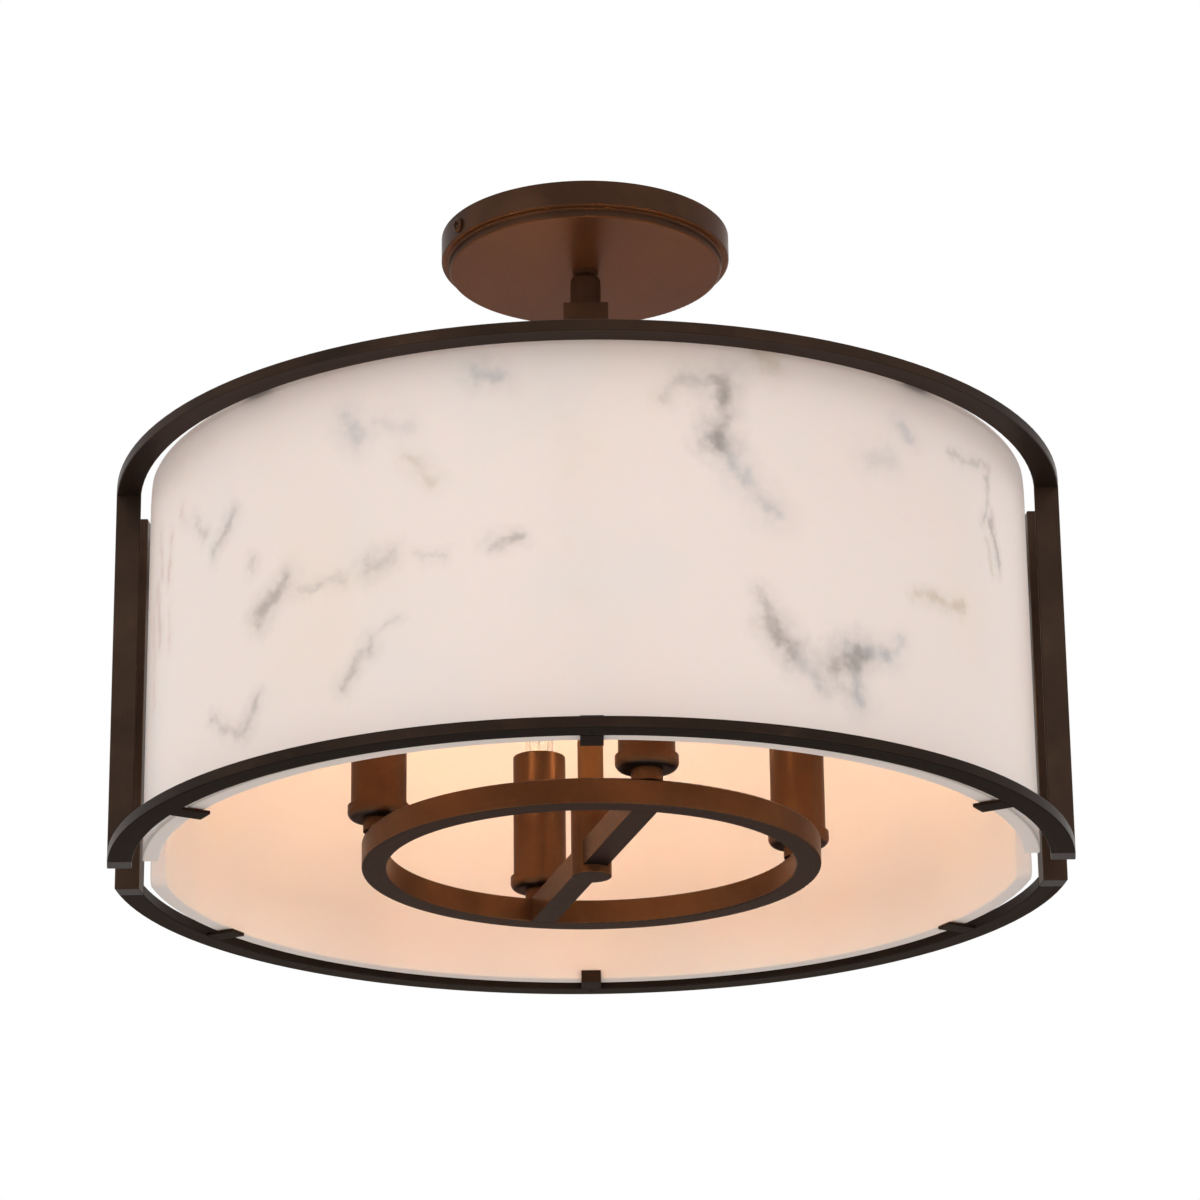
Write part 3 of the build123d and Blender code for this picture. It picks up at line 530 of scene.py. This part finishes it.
def resinFinish():
    # cast resin in the look of alabaster
    made = newFinish("cast_resin")
    look = shadeLook
    x, y, z = made.split(made.place)
    radius = made.add("ShaderNodeMath", {"operation": "SQRT"}, {0: x * x + y * y})
    # the angle from the middle of each half: the back half repeats the front's cast, turned
    side = made.add("ShaderNodeMath", {"operation": "SIGN"}, {0: y})
    angle = made.add("ShaderNodeMath", {"operation": "ARCTAN2"}, {0: x * side * -1.0, 1: y * side})
    unrolled = made.add("ShaderNodeCombineXYZ", {}, {0: angle * look["radius"], 1: z, 2: 0.0})
    drift = wander(made, look["drift"], look["driftScale"], 3.0, 0.6)
    fray = wander(made, look["fray"], look["frayScale"], 2.0, 0.5)
    point = made.vector("ADD", unrolled, made.vector("ADD", drift, fray))

    # the cast's own tone: pale, with cream, cool and blush clouds
    tone = look["pale"]
    for ink, shift, scale, detail, low, high, share in look["clouds"]:
        cloud = made.noise(made.vector("ADD", made.place, shift), scale, detail, 0.5)
        tone = made.blend(tone, look[ink], made.ramp(cloud, low, high, 0.0, share))

    # painted shade: darker and browner in a band just under the upper ring
    paintedShoulderMask = made.ramp(z, look["top"] - look["shoulderStart"], look["top"] - look["shoulderEnd"])
    tone = made.blend(tone, look["paintedShoulderShade"], paintedShoulderMask * look["paintedShoulderShare"])

    # veins lie near the outer face only
    inner = look["radius"] - 1.5 * look["veinDepth"]
    skin = made.ramp(radius, inner, inner + look["veinDepth"])
    grit = made.ramp(made.noise(made.place, look["gritScale"], 2.0, 0.5), 0.28, 0.62, 0.45, 1.0)
    strokes = ((umberVeins, "umber"), (rustVeins, "rust"), (slateVeins, "slate"), (greyVeins, "vein"))
    for veins, ink in strokes:
        mask = paintVeins(made, point, veins) * grit * skin
        tone = made.blend(tone, look[ink], mask)

    polish = made.noise(made.place, look["polishScale"], 3.0, 0.5)
    return made.surface({
        "Base Color": tone,
        "Roughness": look["roughness"] + polish * look["polishRoughness"],
        "Specular IOR Level": look["specular"],
        "Subsurface Weight": look["subsurface"],
        "Subsurface Radius": look["subsurfaceColour"],
        "Subsurface Scale": look["subsurfaceDepth"],
        "Normal": made.bump(polish, 0.05, look["polishDepth"]),
    })


# finishes onto the CAD pieces

frameBronze = bronzeFinish("bronze_frame", "frame", False)
lowerShadedBronze = bronzeFinish("bronze_lower_painted_shade", "lower", False)
barSheenBronze = bronzeFinish("bronze_bar_painted_reflection", "bar", True)
canopyGlowBronze = bronzeFinish("bronze_canopy_painted_glow", "canopy", False)
stemGlowBronze = bronzeFinish("bronze_stem_painted_glow", "canopy", True)
ringLampLitBronze = bronzeFinish("bronze_ring_painted_lamplight", "lamp", False)
candleLampLitBronze = bronzeFinish("bronze_candle_painted_lamplight", "lamp", True)
tubeLampLitBronze = bronzeFinish("bronze_tube_painted_lamplight", "tube", True)
bracketSteel = platedFinish("bracket_steel", "bracket")
bulbBrass = platedFinish("bulb_brass", "bulbBrass")
groundGreen = groundGreenFinish()
nylon = mouldedFinish("race_nylon", "nylon")
phenolic = mouldedFinish("socket_phenolic", "phenolic")
jacket = mouldedFinish("wire_jacket", "jacket")
resin = resinFinish()
bulbGlass = bulbGlassFinish()
stemGlass = glassStemFinish()
filamentWire = filamentFinish()

slotFinish = {
    "bracket_steel": bracketSteel,
    "ground_green": groundGreen,
    "bronze": frameBronze,
    "race_nylon": nylon,
    "cast_resin": resin,
    "wire_jacket": jacket,
    "socket_phenolic": phenolic,
    "bulb_brass": bulbBrass,
    "bulb_glass": bulbGlass,
    "filament_wire": filamentWire,
}
nodeSlot = {part["node"]: part["material_slot"] for part in frame["record"]["subparts"]}
# bronze pieces with painted light, by the start of their names: painted lamp light near the bulbs,
# painted warm glow on the canopy and stem, painted reflection on the bars, painted shade on the lower
# pieces
paintedLightBronzeByName = {
    "front_bottom_arc": lowerShadedBronze,
    "back_bottom_arc": lowerShadedBronze,
    "shade_tabs": lowerShadedBronze,
    "shade_clips": lowerShadedBronze,
    "canopy": canopyGlowBronze,
    "ball_stud": canopyGlowBronze,
    "swivel": stemGlowBronze,
    "square_stem": stemGlowBronze,
    "front_left_bar": barSheenBronze,
    "front_right_bar": barSheenBronze,
    "back_left_bar": barSheenBronze,
    "back_right_bar": barSheenBronze,
    "stem_tube": tubeLampLitBronze,
    "ring_hub": candleLampLitBronze,
    "candle_sleeve": candleLampLitBronze,
    "candle_cups": candleLampLitBronze,
    "finial": ringLampLitBronze,
    "cross_bars": ringLampLitBronze,
    "lamp_ring": ringLampLitBronze,
    "ring_cover": ringLampLitBronze,
}

for name, node in frame["nodes"].items():
    finish = slotFinish[nodeSlot[name]]
    for start, bronze in paintedLightBronzeByName.items():
        if finish is frameBronze and name.startswith(start):
            finish = bronze
    node.data.materials.clear()
    node.data.materials.append(finish)
    for polygon in node.data.polygons:
        polygon.material_index = 0
print("finishes set on", len(frame["nodes"]), "pieces")


# mesh helpers

def newPiece(name, build, finish):
    # a mesh piece in the frame's own coordinates, smooth, made by a bmesh function
    shape = bmesh.new()
    build(shape)
    bmesh.ops.recalc_face_normals(shape, faces=shape.faces)
    mesh = bpy.data.meshes.new(name)
    shape.to_mesh(mesh)
    shape.free()
    mesh.polygons.foreach_set("use_smooth", [True] * len(mesh.polygons))
    mesh.materials.append(finish)
    piece = bpy.data.objects.new(name, mesh)
    bpy.context.scene.collection.objects.link(piece)
    return piece


def addTube(shape, points, radius, sides=10):
    # a round wire along points, with capped ends
    rings = []
    normal = None
    for index, point in enumerate(points):
        before = points[max(index - 1, 0)]
        after = points[min(index + 1, len(points) - 1)]
        along = (after - before).normalized()
        if normal is None:
            normal = along.orthogonal().normalized()
        normal = (normal - along * normal.dot(along)).normalized()
        across = along.cross(normal)
        ring = []
        for step in range(sides):
            turn = 2.0 * math.pi * step / sides
            reach = normal * math.cos(turn) + across * math.sin(turn)
            ring.append(shape.verts.new(point + reach * radius))
        rings.append(ring)
    for lower, upper in zip(rings, rings[1:]):
        for step in range(sides):
            after = (step + 1) % sides
            shape.faces.new((lower[step], lower[after], upper[after], upper[step]))
    shape.faces.new(rings[0][::-1])
    shape.faces.new(rings[-1])


# screws with pressed cross recesses

screwLook = {
    "rings": 26,
    "segments": 96,
    "armWidth": 0.21,  # half width of a recess arm, as a share of the head's radius
    "armReach": 0.62,
    "wallWidth": 0.07,  # of a recess arm's sloped side
    "endWidth": 0.22,  # of its sloped end
    "domeRim": 0.45,  # height of a domed head's rim, as a share of its middle
    "domeCurve": 2.6,
}


def crossDepth(x, y, radius):
    # how deep the cross recess is at a place on the head, 0 to 1
    armWidth, armReach = screwLook["armWidth"] * radius, screwLook["armReach"] * radius
    wallWidth, endWidth = screwLook["wallWidth"] * radius, screwLook["endWidth"] * radius
    deepest = 0.0
    for across, along in ((abs(x), abs(y)), (abs(y), abs(x))):
        inWidth = min(1.0, max(0.0, (armWidth - across) / wallWidth + 0.5))
        inReach = min(1.0, max(0.0, (armReach - along) / endWidth))
        deepest = max(deepest, inWidth * inReach)
    return deepest


def addScrewHead(shape, matrix, radius, height, domed, depth):
    # a head with a cross recess, seen from its +Z, standing on z = 0
    segments, count = screwLook["segments"], screwLook["rings"]
    domeRim, domeCurve = screwLook["domeRim"], screwLook["domeCurve"]
    rings = []
    for index in range(count):
        share = 1.0 - index / count
        ring = []
        for step in range(segments):
            turn = 2.0 * math.pi * step / segments
            x = share * radius * math.cos(turn)
            y = share * radius * math.sin(turn)
            if domed:
                level = height * (domeRim + (1.0 - domeRim) * math.sqrt(max(0.0, 1.0 - share ** domeCurve)))
            else:
                level = height
            level -= depth * crossDepth(x, y, radius)
            ring.append(shape.verts.new(matrix @ Vector((x, y, level))))
        rings.append(ring)
    centre = shape.verts.new(matrix @ Vector((0.0, 0.0, height - depth)))
    for outer, inner in zip(rings, rings[1:]):
        for step in range(segments):
            after = (step + 1) % segments
            shape.faces.new((outer[step], outer[after], inner[after], inner[step]))
    for step in range(segments):
        shape.faces.new((rings[-1][step], rings[-1][(step + 1) % segments], centre))
    return rings[0]


def addScrewBody(shape, matrix, rim, profile):
    # joins the head's rim to the screw's under side and shank
    segments = len(rim)
    rings = [rim]
    for radius, height in profile[:-1]:
        ring = []
        for step in range(segments):
            turn = 2.0 * math.pi * step / segments
            point = Vector((radius * math.cos(turn), radius * math.sin(turn), height))
            ring.append(shape.verts.new(matrix @ point))
        rings.append(ring)
    end = shape.verts.new(matrix @ Vector((0.0, 0.0, profile[-1][1])))
    for upper, lower in zip(rings, rings[1:]):
        for step in range(segments):
            after = (step + 1) % segments
            shape.faces.new((upper[after], upper[step], lower[step], lower[after]))
    for step in range(segments):
        shape.faces.new((rings[-1][(step + 1) % segments], rings[-1][step], end))


def outwardMatrix(origin, direction):
    # places +Z along a direction, at an origin
    turn = Vector(direction).to_track_quat("Z", "Y").to_matrix().to_4x4()
    return Matrix.Translation(Vector(origin)) @ turn


sideScrew = {
    "angle": 30.0,
    "drop": -0.0063,
    "headRadius": 0.00325,
    "headHeight": 0.0018,
    "headEdge": 0.0002,
    "recess": 0.0011,
    "shank": 0.0018,
    "length": 0.007,
    "point": 0.0004,  # length of the tapered end
}


def buildCanopyScrews(shape):
    # a domed screw in each side of the canopy's rim
    low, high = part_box("canopy")
    canopyRadius = (high.x - low.x) / 2
    radius, shank, length = sideScrew["headRadius"], sideScrew["shank"], sideScrew["length"]
    for flip in (0.0, 180.0):
        turn = math.radians(sideScrew["angle"] + flip)
        out = Vector((math.cos(turn), math.sin(turn), 0.0))
        matrix = outwardMatrix(out * canopyRadius + Vector((0, 0, sideScrew["drop"])), out)
        rim = addScrewHead(shape, matrix, radius, sideScrew["headHeight"], True, sideScrew["recess"])
        addScrewBody(shape, matrix, rim, [
            (radius, sideScrew["headEdge"]), (radius * 0.97, 0.0), (shank, 0.0),
            (shank, sideScrew["point"] - length), (shank * 0.6, -length), (0.0, -length),
        ])


canopyScrews = newPiece("canopy_screw_heads", buildCanopyScrews, canopyGlowBronze)
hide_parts("canopy_screws")
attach(canopyScrews, "ceiling_mount")

armScrew = {"circle": 0.196, "headRadius": 0.0026, "recess": 0.0008, "shank": 0.0015, "length": 0.005}


def addSunkScrew(shape, matrix, screw, length):
    # a countersunk screw whose flat head is flush with the face it sits in
    radius, shank = screw["headRadius"], screw["shank"]
    rim = addScrewHead(shape, matrix, radius, 0.0, False, screw["recess"])
    addScrewBody(shape, matrix, rim, [(shank, shank - radius), (shank, -length), (0.0, -length)])


def buildArmScrews(shape):
    # one screw through the end of each arm of the top cross
    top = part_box("arm_screws")[1].z
    for quarter in range(4):
        turn = math.radians(45.0 + 90.0 * quarter)
        origin = (armScrew["circle"] * math.cos(turn), armScrew["circle"] * math.sin(turn), top)
        addSunkScrew(shape, outwardMatrix(origin, (0.0, 0.0, 1.0)), armScrew, armScrew["length"])


armScrews = newPiece("arm_screw_heads", buildArmScrews, frameBronze)
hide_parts("arm_screws")
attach(armScrews, "fixture")

clipScrew = {"circle": 0.1966, "headRadius": 0.0015, "recess": 0.0006, "shank": 0.0009}


def buildClipScrews(shape):
    # one screw under each shade clip, front and back
    low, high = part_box("clip_screws")
    for side in (-1.0, 1.0):
        origin = (0.0, side * clipScrew["circle"], low.z)
        addSunkScrew(shape, outwardMatrix(origin, (0.0, 0.0, -1.0)), clipScrew, high.z - low.z)


clipScrews = newPiece("clip_screw_heads", buildClipScrews, lowerShadedBronze)
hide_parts("clip_screws")
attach(clipScrews, "fixture")
print("screws dressed")


# the wires and coil inside each bulb

coilLook = {
    "wire": 0.00016,
    "coilRadius": 0.0008,
    "turns": 46,
    "stepsPerTurn": 12,
    "sag": 0.0055,
    "coilDrop": 0.0012,  # of the coil's ends below the top of the wire work
    "leadRadius": 0.00028,
    "leadSteps": 18,
    "leadBulge": 0.0011,
    "leadRoot": 0.004,  # how deep the leads start inside the glass stem
    "leadEnd": 0.0004,
    "pressWidth": 0.0027,  # half of the distance between the leads where they leave the stem
    "topWidth": 0.0052,
    "pressHeight": 0.0075,  # of the glass stem
    "supportRadius": 0.000196,
    "supportRoot": 0.001,
    "supportLean": 0.0004,
    "neckLength": 0.003,  # of the support, under the middle of its eye
    "eyeRadius": 0.0011,
    "eyeSteps": 12,
    "eyeDrop": 0.35,  # of the sag
}


def stemHeights(number):
    # lowest and highest point of the wire work in a bulb
    low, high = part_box(f"filament_{number}")
    return low.z, high.z


def lampMiddle(number):
    # the upright axis of a lamp
    low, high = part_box(f"bulb_base_{number}")
    return Vector(((low.x + high.x) / 2, (low.y + high.y) / 2, 0.0))


def leadPoints(number, side):
    # a lead leaves the stem's edge, flares out and rises to the coil's end
    bottom, top = stemHeights(number)
    middle = lampMiddle(number)
    root = bottom + coilLook["pressHeight"] - coilLook["leadRoot"]
    rise = top - coilLook["leadEnd"] - root
    spread = coilLook["topWidth"] - coilLook["pressWidth"]
    points = []
    for step in range(coilLook["leadSteps"] + 1):
        share = step / coilLook["leadSteps"]
        bulge = coilLook["leadBulge"] * math.sin(math.pi * min(1.0, share * 1.25)) * (1.0 - share * 0.5)
        width = coilLook["pressWidth"] + spread * share ** 0.8
        points.append(middle + Vector((side * (width + bulge), 0.0, root + rise * share)))
    return points


def buildLeads(shape, number):
    # the two leads, and the middle support that ends in a small eye under the coil
    for side in (-1.0, 1.0):
        addTube(shape, leadPoints(number, side), coilLook["leadRadius"])
    bottom, top = stemHeights(number)
    middle = lampMiddle(number)
    root = bottom + coilLook["pressHeight"] - coilLook["supportRoot"]
    hook = top - coilLook["sag"] * coilLook["eyeDrop"]
    support = [
        middle + Vector((0.0, 0.0, root)),
        middle + Vector((0.0, coilLook["supportLean"], hook - coilLook["neckLength"])),
    ]
    for step in range(coilLook["eyeSteps"] + 1):
        turn = 2.0 * math.pi * step / coilLook["eyeSteps"]
        eye = Vector((0.0, math.sin(turn), -math.cos(turn))) * coilLook["eyeRadius"]
        support.append(middle + Vector((0.0, 0.0, hook)) + eye)
    addTube(shape, support, coilLook["supportRadius"])


def buildCoil(shape, number):
    # one fine helix from lead to lead, drooping on each side of the support
    top = stemHeights(number)[1]
    middle = lampMiddle(number)
    half = coilLook["topWidth"]
    count = coilLook["turns"] * coilLook["stepsPerTurn"]
    points = []
    for step in range(count + 1):
        share = step / count
        x = -half + 2.0 * half * share
        droop = coilLook["sag"] * abs(math.sin(2.0 * math.pi * share))
        turn = 2.0 * math.pi * coilLook["turns"] * share
        swing = Vector((0.0, math.cos(turn), math.sin(turn))) * coilLook["coilRadius"]
        points.append(middle + Vector((x, 0.0, top - coilLook["coilDrop"] - droop)) + swing)
    addTube(shape, points, coilLook["wire"], 6)


stemShape = {
    "segments": 40,
    "steps": 16,
    "lift": 0.0002,  # above the base it stands on
    "footRadius": 0.0046,
    "taper": 0.0016,
    "taperRate": 2.2,
    "pressFrom": 0.35,  # share of the height where the tube starts to be pressed flat
    "pressed": 0.62,
    "roundFrom": 0.88,  # share of the height where the top starts to close
    "topShare": 0.35,  # of the radius that is left at the very top
}


def buildStem(shape, number):
    # flared glass tube pressed flat at its top round the leads
    bottom = stemHeights(number)[0]
    middle = lampMiddle(number)
    segments, pressFrom = stemShape["segments"], stemShape["pressFrom"]
    roundFrom, topShare = stemShape["roundFrom"], stemShape["topShare"]
    rings = []
    for step in range(stemShape["steps"] + 1):
        share = step / stemShape["steps"]
        flare = stemShape["footRadius"] - stemShape["taper"] * min(1.0, share * stemShape["taperRate"])
        squeeze = 1.0 - stemShape["pressed"] * max(0.0, share - pressFrom) / (1.0 - pressFrom)
        level = bottom + stemShape["lift"] + coilLook["pressHeight"] * share
        closing = math.sqrt(max(0.0, 1.0 - max(0.0, (share - roundFrom) / (1.0 - roundFrom)) ** 2))
        reach = flare * (topShare + (1.0 - topShare) * closing)
        ring = []
        for index in range(segments):
            turn = 2.0 * math.pi * index / segments
            offset = Vector((reach * math.cos(turn), reach * squeeze * math.sin(turn), level))
            ring.append(shape.verts.new(middle + offset))
        rings.append(ring)
    for lower, upper in zip(rings, rings[1:]):
        for index in range(segments):
            after = (index + 1) % segments
            shape.faces.new((lower[index], lower[after], upper[after], upper[index]))
    shape.faces.new(rings[0][::-1])
    shape.faces.new(rings[-1])


for number in range(1, 5):
    body = f"bulb_{number}"
    leads = newPiece(f"bulb_leads_{number}", lambda shape: buildLeads(shape, number), bracketSteel)
    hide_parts(f"filament_{number}")
    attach(leads, body)
    coil = newPiece(f"bulb_coil_{number}", lambda shape: buildCoil(shape, number), filamentWire)
    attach(coil, body)
    stem = newPiece(f"bulb_stem_{number}", lambda shape: buildStem(shape, number), stemGlass)
    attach(stem, body)
    frame["nodes"][f"bulb_glass_{number}"].visible_shadow = False
    stem.visible_shadow = False
print("bulbs dressed")


# light, floor and background

lightPlan = {
    "ambient": 0.86,
    "ambientColour": (1.0, 0.99, 0.98),
    "bulbPower": 0.107,
    "bulbColour": (1.0, 0.62, 0.32),
    "bulbHeight": -0.176,
    "bulbSize": 0.006,
    "softBoxes": [  # place, size, power, colour
        ((-2.2, -2.4, -0.3), 1.8, 18.0, (1.0, 0.985, 0.97)),
        ((2.3, -2.2, -0.5), 1.6, 13.0, (1.0, 0.99, 0.98)),
        ((0.3, 2.6, 0.4), 1.8, 6.0, (1.0, 0.99, 0.98)),
    ],
    "floorBounce": (0.56, 0.56, 0.55),  # the floor's tone for the light it throws back
    "floorShown": ((0.93, 0.93, 0.925), (0.95, 0.95, 0.945)),
    "floorHeight": -2.75,
    "floorSize": 14.0,
}


def seenRay(made):
    # 1 for rays that show a surface: straight, mirrored or through glass
    seen, mirrored, through = [
        made.add("ShaderNodeLightPath", {}, {}, kind)
        for kind in ("Is Camera Ray", "Is Glossy Ray", "Is Transmission Ray")
    ]
    return seen.join("MAXIMUM", seen, seen.join("MAXIMUM", mirrored, through))


world = bpy.data.worlds.new("studio")
bpy.context.scene.world = world
studio = Finish(world)
ambient = studio.add("ShaderNodeBackground", {}, {
    "Color": (*lightPlan["ambientColour"], 1.0),
    "Strength": lightPlan["ambient"],
})
white = studio.add("ShaderNodeBackground", {}, {"Color": (1.0, 1.0, 1.0, 1.0), "Strength": 1.0})
backdrop = studio.add("ShaderNodeMixShader", {}, {0: seenRay(studio), 1: ambient, 2: white})
studio.add("ShaderNodeOutputWorld", {}, {0: backdrop}, None)


def floorFinish():
    # pale to the eye, greyer to the light, so that it doesn't brighten the undersides
    made = newFinish("pale_floor")
    speck = made.noise(made.place, 3.0, 3.0, 0.5)
    shown = made.blend(*lightPlan["floorShown"], speck)
    return made.surface({
        "Base Color": made.blend(lightPlan["floorBounce"], shown, seenRay(made)),
        "Roughness": 0.9,
        "Specular IOR Level": 0.1,
    })


def buildFloor(shape):
    half = lightPlan["floorSize"] / 2
    corners = [(-half, -half), (half, -half), (half, half), (-half, half)]
    shape.faces.new([shape.verts.new((x, y, lightPlan["floorHeight"])) for x, y in corners])


floor = newPiece("floor", buildFloor, floorFinish())

aim = (cadBox[0] + cadBox[1]) / 2
for index, (place, size, power, colour) in enumerate(lightPlan["softBoxes"]):
    lamp = bpy.data.lights.new(f"softBox{index}", "AREA")
    lamp.shape = "SQUARE"
    lamp.size = size
    lamp.energy = power
    lamp.color = colour
    holder = bpy.data.objects.new(lamp.name, lamp)
    holder.location = place
    holder.rotation_euler = (aim - Vector(place)).to_track_quat("-Z", "Y").to_euler()
    bpy.context.scene.collection.objects.link(holder)

for number in range(1, 5):
    lamp = bpy.data.lights.new(f"bulbGlow{number}", "POINT")
    lamp.energy = lightPlan["bulbPower"]
    lamp.color = lightPlan["bulbColour"]
    lamp.shadow_soft_size = lightPlan["bulbSize"]
    holder = bpy.data.objects.new(lamp.name, lamp)
    holder.location = lampMiddle(number) + Vector((0.0, 0.0, lightPlan["bulbHeight"]))
    bpy.context.scene.collection.objects.link(holder)
print("lights set")


# camera at the photograph's angle

cameraPlan = {
    "place": (-0.0067, -1.8069, -0.8056),
    "pitch": 0.3388,
    "yaw": 0.0064,
    "roll": -0.0113,
    "lens": 133.45,
    "sensor": 36.0,
    "clip": (0.05, 60.0),
}

camera = bpy.data.cameras.new("camera")
camera.lens = cameraPlan["lens"]
camera.sensor_width = cameraPlan["sensor"]
camera.clip_start, camera.clip_end = cameraPlan["clip"]
cameraHolder = bpy.data.objects.new("camera", camera)
yaw, pitch, roll = cameraPlan["yaw"], cameraPlan["pitch"], cameraPlan["roll"]
forward = Vector((math.sin(yaw) * math.cos(pitch), math.cos(yaw) * math.cos(pitch), math.sin(pitch)))
right = Vector((math.cos(yaw), -math.sin(yaw), 0.0))
up = right.cross(forward)
rolledRight = math.cos(roll) * right + math.sin(roll) * up
rolledUp = math.cos(roll) * up - math.sin(roll) * right
turn = Matrix((rolledRight, rolledUp, -forward)).transposed().to_4x4()
cameraHolder.matrix_world = Matrix.Translation(Vector(cameraPlan["place"])) @ turn
bpy.context.scene.collection.objects.link(cameraHolder)
bpy.context.scene.camera = cameraHolder
bpy.context.scene.view_settings.view_transform = "Standard"
print("camera set")
